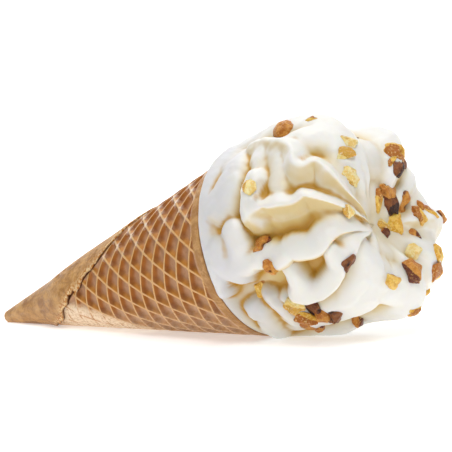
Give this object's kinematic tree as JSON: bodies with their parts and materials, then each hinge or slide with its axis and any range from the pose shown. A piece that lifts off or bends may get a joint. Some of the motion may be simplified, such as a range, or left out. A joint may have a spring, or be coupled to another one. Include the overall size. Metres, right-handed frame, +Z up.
{
  "type": "ice cream cone",
  "caption": "Rolled waffle cone lying on its side, filled with folded vanilla ice cream scattered with chopped nuts.",
  "frame": {"origin": "middle of the bounding box in plan, on the floor that the cone lies on", "axes": "+X runs along the floor from the wafer's tip to the ice cream, +Y points away from the near side, +Z is up"},
  "size_m": [0.1614, 0.0638, 0.0627],
  "materials": {
    "wafer": "baked, matt with a faint sheen on the ribs",
    "cream": "soft satin, slightly moist"
  },
  "bodies": {
    "root": {"wafer_cone": "wafer", "ice_cream": "cream"}
  },
  "joints": []
}
